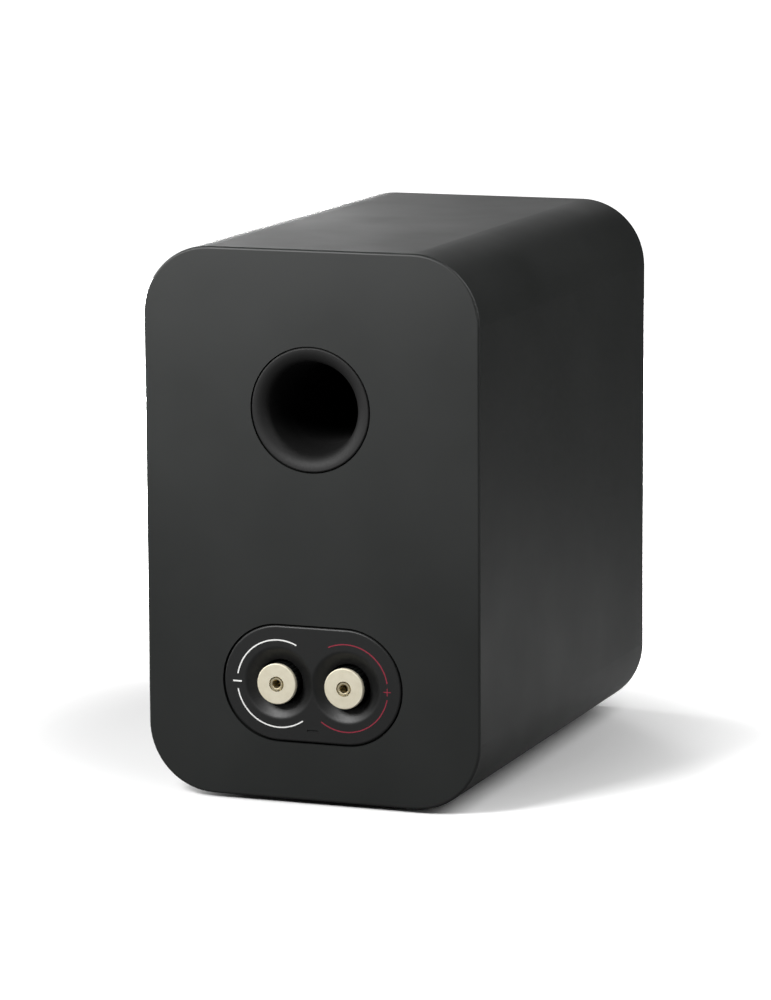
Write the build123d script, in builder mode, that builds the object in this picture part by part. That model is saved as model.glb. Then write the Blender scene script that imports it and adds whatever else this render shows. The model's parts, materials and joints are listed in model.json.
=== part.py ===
"""A compact two-way bookshelf loudspeaker, as separate pieces at their real places.

The cabinet is a rounded-corner wooden sleeve closed by a front baffle and a rear panel.
The baffle carries a mid-bass driver below a soft-dome tweeter.  The rear panel carries a
flared reflex port above an oval terminal plate with two screw-down binding posts, whose
stems are sockets for 4 mm plugs.  A crossover, two braces and wadding sit inside.

Millimetres.  +Z is up, +Y points out of the rear panel, the origin is on the surface that
the feet stand on, under the middle of the cabinet.
"""
from build123d import *
import math
import os

os.makedirs("parts", exist_ok=True)

# ---------------------------------------------------------------- driving dimensions
CAB_W, CAB_H, CAB_D = 165.0, 258.0, 250.0  # cabinet: wide, high, deep
CORNER_R = 32.4  # the rounding of the four long edges
WALL = 15.0  # sleeve, baffle and rear panel board thickness
LIP = 2.0  # the part of each end panel that covers the sleeve's end
FOOT_H = 2.0  # the rubber feet lift the cabinet this much
EDGE_R = 1.2  # the rounded edge of each end panel

MID_Z = FOOT_H + CAB_H / 2
FRONT_Y, REAR_Y = -CAB_D / 2, CAB_D / 2
BOARD_IN = WALL - LIP  # depth of an end panel's plug inside the sleeve
IN_W, IN_H, IN_R = CAB_W - 2 * WALL, CAB_H - 2 * WALL, CORNER_R - WALL
INNER_FRONT, INNER_REAR = FRONT_Y + WALL, REAR_Y - WALL
FLOOR_Z, CEILING_Z = FOOT_H + WALL, FOOT_H + CAB_H - WALL

PORT_Z = MID_Z + 55.0
PORT_R = 19.0  # bore radius of the reflex port
PORT_WALL = 2.5
FLANGE_R = 29.0  # the port's visible rim
FLANGE_T = 3.0
LIP_R = 6.6  # the flare's rounded lip
TAPER_D = 24.0  # depth at which the taper behind the lip has narrowed to the bore
PORT_END_Y = 20.0  # inner end of the port tube

TERM_Z = MID_Z - 73.9
TERM_SPAN = 33.4  # between the centres of the terminal plate's round ends
TERM_R = 27.3  # radius of those ends
TERM_T = 3.0
GASKET_T = 0.6
POST_X = TERM_SPAN / 2
DISH_RIM_R, DISH_ROUND, DISH_DEPTH = 17.5, 3.0, 11.0
DISH_SWEEP = 30.0  # how far the rim rounds over before the cone, and so the cone's slope
DISH_WAIST_R, DISH_FLOOR_R = 10.7, 9.8  # where the cone meets the well, and the well's foot

STEM_R, SOCKET_R, SOCKET_L = 3.0, 2.05, 18.2  # binding post stem, and its 4 mm plug socket
KNOB_R, KNOB_FACE_T = 9.6, 2.0
KNOB_PROUD = 3.0  # the knob's face stands this far out of the plate
HUB_R = 6.2
COLLAR_T, WASHER_T = 1.5, 1.0

WOOFER_Z = 92.0
TWEETER_Z = 205.0
TRIM_PROUD = KNOB_PROUD  # the woofer's trim stands out in front as far as the knobs behind
SEAT_D = 4.6  # depth of the baffle's rebate under the woofer
TWEETER_SEAT_D = 6.0
SLIP = 0.05  # radial room round pins and screws


# ---------------------------------------------------------------- helpers
def across(y, z, x=0.0):
    """A sketch plane facing the front: sketch x is X, sketch y is Z, and extrude goes to -Y."""
    return Plane(origin=(x, y, z), x_dir=(1, 0, 0), z_dir=(0, -1, 0))


def facing_rear(y, z):
    """A plane facing the rear, for holes that are drilled in from behind."""
    return Plane(origin=(0, y, z), x_dir=(-1, 0, 0), z_dir=(0, 1, 0))


def turned(x, z):
    """A half-section plane for a piece turned about a line along Y: sketch x is the radius."""
    return Plane(origin=(x, 0, z), x_dir=(1, 0, 0), z_dir=(0, 0, 1))


def spin(x, z):
    """The line along Y that turned pieces are revolved about."""
    return Axis((x, 0, z), (0, 1, 0))


def save(piece, name):
    """Labels a finished piece and writes it as one STEP file."""
    piece.label = name
    export_step(piece, f"parts/{name}.step")


def ring(x, z, r_in, r_out, y_low, y_high):
    """A plain turned ring or disc between two heights on Y."""
    with BuildPart() as made:
        with BuildSketch(across(y_high, z, x)):
            Circle(r_out)
            if r_in > 0:
                Circle(r_in, mode=Mode.SUBTRACT)
        extrude(amount=y_high - y_low)
    return made.part


# ---------------------------------------------------------------- cabinet
with BuildPart() as cabinet_sleeve:
    with BuildSketch(across(REAR_Y - LIP, MID_Z)):
        RectangleRounded(CAB_W, CAB_H, CORNER_R)
        RectangleRounded(IN_W, IN_H, IN_R, mode=Mode.SUBTRACT)
    extrude(amount=CAB_D - 2 * LIP)
save(cabinet_sleeve.part, "cabinet_sleeve")

with BuildPart() as rubber_feet:
    with BuildSketch(Plane.XY):
        with GridLocations(76, 200, 2, 2):
            Circle(8.0)
    extrude(amount=FOOT_H)
    chamfer(rubber_feet.edges().group_by(Axis.Z)[0], 0.4)
save(rubber_feet.part, "rubber_feet")

# The rear panel's plug fits inside the sleeve and its lip covers the sleeve's end.
with BuildPart() as rear_panel:
    with BuildSketch(across(REAR_Y, MID_Z)):
        RectangleRounded(CAB_W, CAB_H, CORNER_R)
    extrude(amount=LIP)
    fillet(rear_panel.faces().sort_by(Axis.Y)[-1].edges(), EDGE_R)
    with BuildSketch(across(REAR_Y - LIP, MID_Z)):
        RectangleRounded(IN_W, IN_H, IN_R)
    extrude(amount=BOARD_IN)
    with Locations(facing_rear(REAR_Y, PORT_Z)):
        CounterBoreHole(26.4, FLANGE_R + 0.5, FLANGE_T + GASKET_T)
    with BuildSketch(across(REAR_Y, TERM_Z)):
        SlotCenterToCenter(TERM_SPAN, 2 * TERM_R + 1.5)
    extrude(amount=TERM_T + GASKET_T, mode=Mode.SUBTRACT)
    with BuildSketch(across(REAR_Y, TERM_Z)):
        SlotCenterToCenter(TERM_SPAN, 2 * TERM_R - 5.6)
    extrude(amount=WALL, mode=Mode.SUBTRACT)
save(rear_panel.part, "rear_panel")

WOOFER_SCREWS, WOOFER_SCREW_R = 6, 59.0
TWEETER_SCREWS, TWEETER_SCREW_R = 3, 30.0

with BuildPart() as front_baffle:
    with BuildSketch(across(INNER_FRONT, MID_Z)):
        RectangleRounded(IN_W, IN_H, IN_R)
    extrude(amount=BOARD_IN)
    with BuildSketch(across(FRONT_Y + LIP, MID_Z)):
        RectangleRounded(CAB_W, CAB_H, CORNER_R)
    extrude(amount=LIP)
    fillet(front_baffle.faces().sort_by(Axis.Y)[0].edges(), EDGE_R)
    with Locations(across(FRONT_Y, WOOFER_Z)):
        CounterBoreHole(52.6, 66.4, SEAT_D)
        with PolarLocations(WOOFER_SCREW_R, WOOFER_SCREWS, start_angle=90):
            Hole(1.7, depth=13.0)
    with Locations(across(FRONT_Y, TWEETER_Z)):
        CounterBoreHole(26.0, 34.5, TWEETER_SEAT_D)
        with PolarLocations(TWEETER_SCREW_R, TWEETER_SCREWS, start_angle=90):
            Hole(1.4, depth=14.0)
    # The back of the woofer's hole is opened out, so that air moves freely behind the cone.
    back_rims = front_baffle.faces().sort_by(Axis.Y)[-1].inner_wires()
    chamfer(back_rims.sort_by(SortBy.LENGTH)[-1].edges(), 7.0)
save(front_baffle.part, "front_baffle")

BRACE_T, RING_Y = 12.0, -13.0
SHELF_Z, SHELF_T = 148.0, 10.0

with BuildPart() as ring_brace:
    with BuildSketch(across(RING_Y, MID_Z)):
        RectangleRounded(IN_W - 0.1, IN_H - 0.1, IN_R)
        RectangleRounded(IN_W - 40, IN_H - 40, 12, mode=Mode.SUBTRACT)
    extrude(amount=BRACE_T)
save(ring_brace.part, "ring_brace")

SHELF_D = INNER_REAR - RING_Y
with BuildPart() as shelf_brace:
    with BuildSketch(Plane(origin=(0, RING_Y + SHELF_D / 2, SHELF_Z))):
        Rectangle(IN_W - 0.1, SHELF_D - 0.1)
        with GridLocations(0, SHELF_D / 2 - 2, 1, 2):
            RectangleRounded(IN_W - 36, SHELF_D / 2 - 16, 10, mode=Mode.SUBTRACT)
    extrude(amount=SHELF_T)
save(shelf_brace.part, "shelf_brace")

PAD_T = 12.0
with BuildPart() as wadding_pads:
    pad_x = IN_W / 2 - PAD_T / 2 - 0.1
    pad_y = (RING_Y + INNER_REAR) / 2
    for low, high in ((37.0, SHELF_Z - 2), (SHELF_Z + SHELF_T + 2, 224.0)):
        with Locations((0, pad_y, (low + high) / 2)):
            with GridLocations(2 * pad_x, 0, 2, 1):
                Box(PAD_T, SHELF_D - 12, high - low)
save(wadding_pads.part, "wadding_pads")

# ---------------------------------------------------------------- reflex port
RIM_ROUND = 0.8
BACK_R = LIP_R - PORT_WALL

with BuildPart() as reflex_port:
    with BuildSketch(turned(0, PORT_Z)):
        with BuildLine():
            lip_x, lip_y = FLANGE_R - RIM_ROUND, REAR_Y - LIP_R
            seat_y, throat_y = REAR_Y - FLANGE_T, REAR_Y - TAPER_D
            seat_turn = math.degrees(math.asin((seat_y - lip_y) / BACK_R))
            flare = CenterArc((lip_x, lip_y), LIP_R, 180, -90)
            rim = JernArc(flare @ 1, (1, 0), RIM_ROUND, -90)
            back = CenterArc((lip_x, lip_y), BACK_R, 180, -seat_turn)
            Polyline(rim @ 1, (FLANGE_R, seat_y), back @ 1)
            Polyline(
                back @ 0,
                (PORT_R + PORT_WALL, throat_y),
                (PORT_R + PORT_WALL, PORT_END_Y),
                (PORT_R, PORT_END_Y),
                (PORT_R, throat_y),
                flare @ 0,
            )
        make_face()
    revolve(axis=spin(0, PORT_Z))
save(reflex_port.part, "reflex_port")

COLLAR_L, BELL_R = 12.0, 8.0
with BuildPart() as port_inner_bell:
    with BuildSketch(turned(0, PORT_Z)):
        with BuildLine():
            sleeve_in, sleeve_out = PORT_R + PORT_WALL + SLIP, PORT_R + PORT_WALL + 2.5
            bell_x, bell_y = PORT_R + BELL_R, PORT_END_Y - BELL_R
            bell = CenterArc((bell_x, PORT_END_Y), BELL_R, 180, 90)
            Polyline(
                bell @ 1,
                (bell_x, bell_y + 2.5),
                (sleeve_out, bell_y + 6),
                (sleeve_out, PORT_END_Y + COLLAR_L),
                (sleeve_in, PORT_END_Y + COLLAR_L),
                (sleeve_in, PORT_END_Y),
                bell @ 0,
            )
        make_face()
    revolve(axis=spin(0, PORT_Z))
save(port_inner_bell.part, "port_inner_bell")

seat_y = REAR_Y - FLANGE_T
save(ring(0, PORT_Z, 26.6, FLANGE_R, seat_y - GASKET_T, seat_y), "port_gasket")

# ---------------------------------------------------------------- terminal plate
DISH_FLOOR_Y = REAR_Y - DISH_DEPTH
PLATE_FLOOR_T = 2.5
DISH_BODY_R = 18.2  # the two wells' outsides, behind the plate
turn = math.radians(DISH_SWEEP)
cone_top_r = DISH_RIM_R - DISH_ROUND * math.sin(turn)
cone_top_d = DISH_ROUND * (1 - math.cos(turn))
waist_y = REAR_Y - cone_top_d - (cone_top_r - DISH_WAIST_R) * math.tan(turn)

with BuildPart() as terminal_plate:
    with BuildSketch(across(REAR_Y, TERM_Z)):
        SlotCenterToCenter(TERM_SPAN, 2 * TERM_R)
    extrude(amount=TERM_T)
    fillet(terminal_plate.faces().sort_by(Axis.Y)[-1].edges(), 1.0)
    with BuildSketch(across(REAR_Y - TERM_T, TERM_Z)):
        with GridLocations(TERM_SPAN, 0, 2, 1):
            Circle(DISH_BODY_R)
    extrude(amount=DISH_DEPTH + PLATE_FLOOR_T - TERM_T)
    for x in (-POST_X, POST_X):
        with BuildSketch(turned(x, TERM_Z)):
            with BuildLine():
                lip = CenterArc((DISH_RIM_R, REAR_Y - DISH_ROUND), DISH_ROUND, 90, DISH_SWEEP)
                Polyline(
                    lip @ 1,
                    (DISH_WAIST_R, waist_y),
                    (DISH_FLOOR_R, DISH_FLOOR_Y),
                    (0, DISH_FLOOR_Y),
                    (0, REAR_Y + 1),
                    (DISH_RIM_R, REAR_Y + 1),
                    lip @ 0,
                )
            make_face()
        revolve(axis=spin(x, TERM_Z), mode=Mode.SUBTRACT)
    dish_floors = terminal_plate.faces().filter_by(Plane.XZ).filter_by(
        lambda f: abs(f.center().Y - DISH_FLOOR_Y) < 0.01
    )
    fillet(dish_floors.edges(), 1.3)
    with Locations(facing_rear(REAR_Y, TERM_Z)):
        with GridLocations(TERM_SPAN, 0, 2, 1):
            Hole(STEM_R + SLIP)
    # A shallow slot under the dishes takes the blade that lifts the plate out.
    with Locations((0, REAR_Y, TERM_Z - 21.7)):
        Box(5.4, 1.2, 0.9, mode=Mode.SUBTRACT)
save(terminal_plate.part, "terminal_plate")

with BuildPart() as terminal_gasket:
    with BuildSketch(across(REAR_Y - TERM_T, TERM_Z)):
        SlotCenterToCenter(TERM_SPAN, 2 * TERM_R - 0.6)
        SlotCenterToCenter(TERM_SPAN, 2 * TERM_R - 5.2, mode=Mode.SUBTRACT)
    extrude(amount=GASKET_T)
save(terminal_gasket.part, "terminal_gasket")

# ---------------------------------------------------------------- binding posts
KNOB_FACE_Y = REAR_Y + KNOB_PROUD
COLLAR_TOP_Y = DISH_FLOOR_Y + COLLAR_T
KNOB_BASE_Y = COLLAR_TOP_Y + WASHER_T
PLATE_BACK_Y = DISH_FLOOR_Y - PLATE_FLOOR_T
TAG_T, NUT_T = 0.8, 4.0
STEM_END_Y = PLATE_BACK_Y - TAG_T - NUT_T - 2.0
SOCKET_END_Y = KNOB_FACE_Y - 0.3 - SOCKET_L
WIRE_HOLE_R = 1.25
FLUTES = 30


def binding_post(x):
    """The plated brass stem: a 4 mm socket from its outer end and a cross hole for bare wire."""
    with BuildPart() as made:
        with BuildSketch(turned(x, TERM_Z)):
            with BuildLine():
                Polyline(
                    (0, STEM_END_Y),
                    (STEM_R, STEM_END_Y),
                    (STEM_R, DISH_FLOOR_Y),
                    (5.5, DISH_FLOOR_Y),
                    (5.5, COLLAR_TOP_Y),
                    (STEM_R, COLLAR_TOP_Y),
                    (STEM_R, KNOB_FACE_Y),
                    (SOCKET_R + 0.3, KNOB_FACE_Y),
                    (SOCKET_R, KNOB_FACE_Y - 0.3),
                    (SOCKET_R, SOCKET_END_Y),
                    (0, SOCKET_END_Y),
                    close=True,
                )
            make_face()
        revolve(axis=spin(x, TERM_Z))
        wire_y = COLLAR_TOP_Y + WIRE_HOLE_R + 0.15
        with Locations(Location((x, wire_y, TERM_Z), (0, 90, 0))):
            Cylinder(WIRE_HOLE_R, 8, mode=Mode.SUBTRACT)
    return made.part


def knob_core(x):
    """The plated cap and threaded hub of a terminal knob, one turned piece."""
    with BuildPart() as made:
        with BuildSketch(turned(x, TERM_Z)):
            with BuildLine():
                Polyline(
                    (STEM_R + SLIP, KNOB_BASE_Y),
                    (HUB_R, KNOB_BASE_Y),
                    (HUB_R, KNOB_FACE_Y - KNOB_FACE_T),
                    (KNOB_R, KNOB_FACE_Y - KNOB_FACE_T),
                    (KNOB_R, KNOB_FACE_Y - 0.35),
                    (KNOB_R - 0.35, KNOB_FACE_Y),
                    (STEM_R + 0.6, KNOB_FACE_Y),
                    (STEM_R + 0.6, KNOB_FACE_Y - 2.6),
                    (STEM_R + SLIP, KNOB_FACE_Y - 2.6),
                    close=True,
                )
            make_face()
        revolve(axis=spin(x, TERM_Z))
    return made.part


def knob_grip(x):
    """The fluted insulating sleeve pressed over a knob's hub."""
    top_y = KNOB_FACE_Y - KNOB_FACE_T
    with BuildPart() as made:
        with BuildSketch(across(top_y, TERM_Z, x)):
            Circle(KNOB_R - 0.2)
            Circle(HUB_R + 0.02, mode=Mode.SUBTRACT)
            with PolarLocations(KNOB_R + 0.1, FLUTES):
                Circle(0.65, mode=Mode.SUBTRACT)
        extrude(amount=top_y - KNOB_BASE_Y - 0.3)
    return made.part


for name, x in (("negative", POST_X), ("positive", -POST_X)):
    save(binding_post(x), f"{name}_post")
    save(knob_core(x), f"{name}_knob_core")
    save(knob_grip(x), f"{name}_knob_grip")
    washer = ring(x, TERM_Z, STEM_R + 0.1, 6.0, COLLAR_TOP_Y, KNOB_BASE_Y)
    save(washer, f"{name}_clamp_washer")

with BuildPart() as post_nuts:
    with BuildSketch(across(PLATE_BACK_Y - TAG_T, TERM_Z)):
        with GridLocations(TERM_SPAN, 0, 2, 1):
            RegularPolygon(5.0, 6, major_radius=False)
            Circle(STEM_R + SLIP, mode=Mode.SUBTRACT)
    extrude(amount=NUT_T)
save(post_nuts.part, "post_nuts")

TAG_L = 14.0
with BuildPart() as solder_tags:
    with BuildSketch(across(PLATE_BACK_Y, TERM_Z)):
        with GridLocations(TERM_SPAN, 0, 2, 1):
            Circle(5.4)
            with Locations((0, TAG_L / 2)):
                Rectangle(4.0, TAG_L)
            Circle(STEM_R + SLIP, mode=Mode.SUBTRACT)
    extrude(amount=TAG_T)
save(solder_tags.part, "solder_tags")

# ---------------------------------------------------------------- crossover
BOARD_W, BOARD_H, BOARD_T = 100.0, 78.0, 1.6
BOARD_Z = 62.0
SPACER_L = 8.0
BOARD_Y = INNER_REAR - SPACER_L - BOARD_T  # the face that carries the components
BOARD_SCREW_X, BOARD_SCREW_Z = BOARD_W - 10, BOARD_H - 10

with BuildPart() as crossover_board:
    with BuildSketch(across(INNER_REAR - SPACER_L, BOARD_Z)):
        RectangleRounded(BOARD_W, BOARD_H, 4)
        with GridLocations(BOARD_SCREW_X, BOARD_SCREW_Z, 2, 2):
            Circle(1.8, mode=Mode.SUBTRACT)
        with Locations((0, TERM_Z + TAG_L - 2 - BOARD_Z)):
            with GridLocations(TERM_SPAN, 0, 2, 1):
                Circle(1.0, mode=Mode.SUBTRACT)
    extrude(amount=BOARD_T)
save(crossover_board.part, "crossover_board")

with BuildPart() as board_spacers:
    with BuildSketch(across(INNER_REAR, BOARD_Z)):
        with GridLocations(BOARD_SCREW_X, BOARD_SCREW_Z, 2, 2):
            Circle(3.5)
            Circle(1.8, mode=Mode.SUBTRACT)
    extrude(amount=SPACER_L)
save(board_spacers.part, "board_spacers")

with BuildPart() as board_screws:
    with BuildSketch(across(BOARD_Y, BOARD_Z)):
        with GridLocations(BOARD_SCREW_X, BOARD_SCREW_Z, 2, 2):
            Circle(3.2)
    extrude(amount=2.0)
    with BuildSketch(across(INNER_REAR - 0.1, BOARD_Z)):
        with GridLocations(BOARD_SCREW_X, BOARD_SCREW_Z, 2, 2):
            Circle(1.6)
    extrude(amount=INNER_REAR - 0.1 - BOARD_Y)
save(board_screws.part, "board_screws")

with BuildPart() as input_links:
    with BuildSketch(across(PLATE_BACK_Y - TAG_T, TERM_Z + TAG_L - 2)):
        with GridLocations(TERM_SPAN, 0, 2, 1):
            Circle(0.9)
    extrude(amount=PLATE_BACK_Y - TAG_T - BOARD_Y + 1.5)
save(input_links.part, "input_links")


def coil(x, z, r_core, r_out, height, with_core):
    """A choke standing on the board: a bobbin with two cheeks, its winding and a core rod."""
    cheek = 1.5
    with BuildPart() as made:
        with BuildSketch(turned(x, z)):
            with BuildLine():
                Polyline(
                    (r_core, BOARD_Y),
                    (r_out + 1, BOARD_Y),
                    (r_out + 1, BOARD_Y - cheek),
                    (r_out, BOARD_Y - cheek),
                    (r_out, BOARD_Y - height + cheek),
                    (r_out + 1, BOARD_Y - height + cheek),
                    (r_out + 1, BOARD_Y - height),
                    (r_core, BOARD_Y - height),
                    close=True,
                )
            make_face()
        revolve(axis=spin(x, z))
        if with_core:
            with BuildSketch(across(BOARD_Y, z, x)):
                Circle(r_core)
            extrude(amount=height)
    return made.part


save(coil(-28, 47, 6.0, 17.0, 28.0, True), "bass_inductor")
save(coil(26, 41, 8.0, 14.0, 16.0, False), "treble_inductor")


def capacitor(x, z, radius, length):
    """A film capacitor lying on the board, with rounded ends."""
    with BuildPart() as made:
        with Locations(Location((x, BOARD_Y - radius, z), (0, 90, 0))):
            Cylinder(radius, length)
        fillet(made.edges(), 1.2)
    return made.part


save(capacitor(-25, 84, 9.0, 40.0), "bass_capacitor")
save(capacitor(25, 86, 7.0, 36.0), "treble_capacitor")

with BuildPart() as cement_resistors:
    with BuildSketch(across(BOARD_Y, 67.5, 34.0)):
        with GridLocations(0, 10.5, 1, 2):
            RectangleRounded(26, 9, 1)
    extrude(amount=9.0)
save(cement_resistors.part, "cement_resistors")


# ---------------------------------------------------------------- internal leads
def lead(points, radius):
    """A round lead on straight runs joined by tangent arcs, as large as its runs allow."""
    radii = []
    corners = [Vector(*p) for p in points]
    for before, here, after in zip(corners, corners[1:], corners[2:]):
        bend = math.radians((here - before).get_angle(after - here))
        shorter = min((here - before).length, (after - here).length)
        radii.append(0.45 * shorter / math.tan(bend / 2))
    with BuildPart() as made:
        with BuildLine() as line:
            FilletPolyline(*points, radius=radii)
        path = line.wire()
        with BuildSketch(Plane(origin=path @ 0, z_dir=path % 0)):
            Circle(radius)
        sweep(path=path)
    fill = made.part.volume / (math.pi * radius**2 * path.length)
    print(f"lead: bends of {min(radii):.0f} mm and more, volume {fill:.4f} of a straight one's")
    return made.part


LEAD_R = 1.2
LEAD_GAP = 3.0
STRIP_X, STRIP_Y = 44.0, FRONT_Y + 31.0

woofer_route = [
    (38, BOARD_Y, 96),
    (38, 70, 96),
    (30, 34, 108),
    (33, -10, 104),
    (38, -44, 96),
    (STRIP_X, -70, WOOFER_Z),
    (STRIP_X, STRIP_Y + 4, WOOFER_Z),
]
tweeter_route = [
    (-6, BOARD_Y, 96),
    (-6, 74, 96),
    (-26, 48, 122),
    (-36, 26, 156),
    (-33, -8, 184),
    (-22, -40, 200),
    (-6, -62, TWEETER_Z),
    (-6, FRONT_Y + 42.0, TWEETER_Z),
]
for name, route in (("woofer_leads", woofer_route), ("tweeter_leads", tweeter_route)):
    pair = []
    for side in (-LEAD_GAP / 2, LEAD_GAP / 2):
        pair.append(lead([(x + side, y, z) for x, y, z in route], LEAD_R))
    save(Compound(children=pair), name)

# ---------------------------------------------------------------- mid-bass driver
FY = FRONT_Y  # depths of the drivers' pieces are counted back from the baffle's face
BASKET_TOP = FY + 2.2
BASKET_SEAT = FY + 4.0
ROLL_R, ROLL_X = 3.6, 46.6  # the surround's half roll
RUBBER_T, CONE_T = 0.8, 0.8
CONE_R, NECK_R, NECK_Y = 43.0, 12.95, FY + 20.0
SHELF_TOP = FY + 25.7
MOTOR_Y = FY + 45.0  # the front of the top plate
TOP_PLATE_T, MAGNET_T, YOKE_T = 5.0, 14.0, 5.0

with BuildPart() as woofer_basket:
    with BuildSketch(turned(0, WOOFER_Z)):
        with BuildLine():
            Polyline(
                (50.2, BASKET_TOP),
                (64.5, BASKET_TOP),
                (64.5, BASKET_SEAT),
                (52.3, BASKET_SEAT),
                (49.8, SHELF_TOP + 2.3),
                (38.8, SHELF_TOP + 2.3),
                (34.6, MOTOR_Y),
                (14.6, MOTOR_Y),
                (14.6, MOTOR_Y - 2.5),
                (32.8, MOTOR_Y - 2.5),
                (36.6, SHELF_TOP + 2.3),
                (36.6, SHELF_TOP),
                (47.6, SHELF_TOP),
                close=True,
            )
        make_face()
    revolve(axis=spin(0, WOOFER_Z))
    for n in range(WOOFER_SCREWS):
        angle = math.radians(60 * n)
        out = (math.cos(angle), 0, math.sin(angle))
        for y, long, wide in ((FY + 14.5, 40, 14), (FY + 35.0, 28, 10)):
            window = Plane(origin=(0, y, WOOFER_Z), x_dir=(out[2], 0, -out[0]), z_dir=out)
            with BuildSketch(window):
                SlotOverall(long, wide)
            extrude(amount=60, mode=Mode.SUBTRACT)
    with Locations(across(BASKET_TOP, WOOFER_Z)):
        with PolarLocations(WOOFER_SCREW_R, WOOFER_SCREWS, start_angle=90):
            Hole(2.3, depth=5.0)
save(woofer_basket.part, "woofer_basket")

with BuildPart() as woofer_gasket:
    with BuildSketch(across(FY + SEAT_D, WOOFER_Z)):
        Circle(64.5)
        Circle(53.0, mode=Mode.SUBTRACT)
        with PolarLocations(WOOFER_SCREW_R, WOOFER_SCREWS, start_angle=90):
            Circle(2.3, mode=Mode.SUBTRACT)
    extrude(amount=FY + SEAT_D - BASKET_SEAT)
save(woofer_gasket.part, "woofer_gasket")

with BuildPart() as woofer_screws:
    with BuildSketch(across(BASKET_TOP, WOOFER_Z)):
        with PolarLocations(WOOFER_SCREW_R, WOOFER_SCREWS, start_angle=90):
            Circle(3.5)
            RegularPolygon(1.5, 6, mode=Mode.SUBTRACT)
    extrude(amount=1.9)
    with BuildSketch(across(FY + 12.5, WOOFER_Z)):
        with PolarLocations(WOOFER_SCREW_R, WOOFER_SCREWS, start_angle=90):
            Circle(1.7 - SLIP)
    extrude(amount=12.5 - 1.6)
save(woofer_screws.part, "woofer_screws")

# The trim ring is a hollow shell that snaps over the basket's flange and hides the screws.
with BuildPart() as woofer_trim_ring:
    with BuildSketch(turned(0, WOOFER_Z)):
        with BuildLine():
            top = (55.6, FY - TRIM_PROUD)
            crown = TangentArc(top, (66.0, FY - 0.2), tangent=(1, 0))
            nose = JernArc(top, (-1, 0), 1.3, -90)
            foot_y = BASKET_TOP - RUBBER_T
            under = ThreePointArc((64.8, FY + 0.6), (60.2, FY - 1.3), (55.6, FY - 1.7))
            Polyline(nose @ 1, (54.3, foot_y), (55.3, foot_y), under @ 1)
            Polyline(under @ 0, (64.8, FY + SEAT_D), (66.0, FY + SEAT_D), crown @ 1)
        make_face()
    revolve(axis=spin(0, WOOFER_Z))
save(woofer_trim_ring.part, "woofer_trim_ring")

with BuildPart() as woofer_surround:
    with BuildSketch(turned(0, WOOFER_Z)):
        with BuildLine():
            land = BASKET_TOP - RUBBER_T
            over = CenterArc((ROLL_X, land), ROLL_R, 0, -180)
            under = CenterArc((ROLL_X, land), ROLL_R - RUBBER_T, 0, -180)
            Polyline(over @ 0, (54.6, land), (54.6, BASKET_TOP), (50.0, BASKET_TOP), under @ 0)
            Polyline(over @ 1, (40.6, land), (40.6, BASKET_TOP), (43.2, BASKET_TOP), under @ 1)
        make_face()
    revolve(axis=spin(0, WOOFER_Z))
save(woofer_surround.part, "woofer_surround")

CONE_MID = (26.0, FY + 12.9)
with BuildPart() as woofer_cone:
    with BuildSketch(turned(0, WOOFER_Z)):
        with BuildLine():
            front = ThreePointArc((40.6, BASKET_TOP), CONE_MID, (NECK_R, NECK_Y))
            back = ThreePointArc(
                (40.6, BASKET_TOP + CONE_T),
                (CONE_MID[0], CONE_MID[1] + CONE_T + 0.2),
                (NECK_R, NECK_Y + CONE_T + 0.4),
            )
            Polyline(front @ 0, (CONE_R, BASKET_TOP), (CONE_R, BASKET_TOP + CONE_T), back @ 0)
            Line(front @ 1, back @ 1)
            cap_seat = front @ 0.88
        make_face()
    revolve(axis=spin(0, WOOFER_Z))
save(woofer_cone.part, "woofer_cone")

CAP_T, CAP_RISE = 0.6, 6.5
with BuildPart() as woofer_dust_cap:
    with BuildSketch(turned(0, WOOFER_Z)):
        with BuildLine():
            edge_x, edge_y = cap_seat.X, cap_seat.Y - 0.4
            radius = (edge_x**2 + CAP_RISE**2) / (2 * CAP_RISE)
            reach = math.degrees(math.asin(edge_x / radius))
            centre = (0, edge_y - CAP_RISE + radius)
            outer = CenterArc(centre, radius, 270, reach)
            inner = CenterArc(centre, radius - CAP_T, 270, reach)
            Line(outer @ 0, inner @ 0)
            Line(outer @ 1, inner @ 1)
        make_face()
    revolve(axis=spin(0, WOOFER_Z))
save(woofer_dust_cap.part, "woofer_dust_cap")

save(ring(0, WOOFER_Z, 12.55, 12.85, FY + 18.5, MOTOR_Y + 9.5), "woofer_coil_former")
save(ring(0, WOOFER_Z, 12.87, 13.6, MOTOR_Y - 3.5, MOTOR_Y + 8.5), "woofer_coil_winding")

# The spider: a corrugated cloth ring from the coil former out to the basket's shelf.
WAVES, WAVE_H, CLOTH_T = 5, 1.3, 0.7
WAVE_IN, WAVE_OUT = 16.0, 38.0


def spider_line(lift):
    """Points along the corrugations, at a height above the basket's shelf."""
    steps = 8 * WAVES
    for n in range(steps + 1):
        share = n / steps
        r = WAVE_IN + (WAVE_OUT - WAVE_IN) * share
        yield (r, SHELF_TOP - lift - WAVE_H / 2 * (1 - math.cos(2 * math.pi * WAVES * share)))


with BuildPart() as woofer_spider:
    with BuildSketch(turned(0, WOOFER_Z)):
        with BuildLine():
            top = Spline(*spider_line(CLOTH_T), tangents=((1, 0), (1, 0)))
            low = Spline(*spider_line(0), tangents=((1, 0), (1, 0)))
            Polyline(top @ 0, (12.9, SHELF_TOP - CLOTH_T), (12.9, SHELF_TOP), low @ 0)
            Polyline(top @ 1, (46.0, SHELF_TOP - CLOTH_T), (46.0, SHELF_TOP), low @ 1)
        make_face()
    revolve(axis=spin(0, WOOFER_Z))
save(woofer_spider.part, "woofer_spider")

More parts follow.
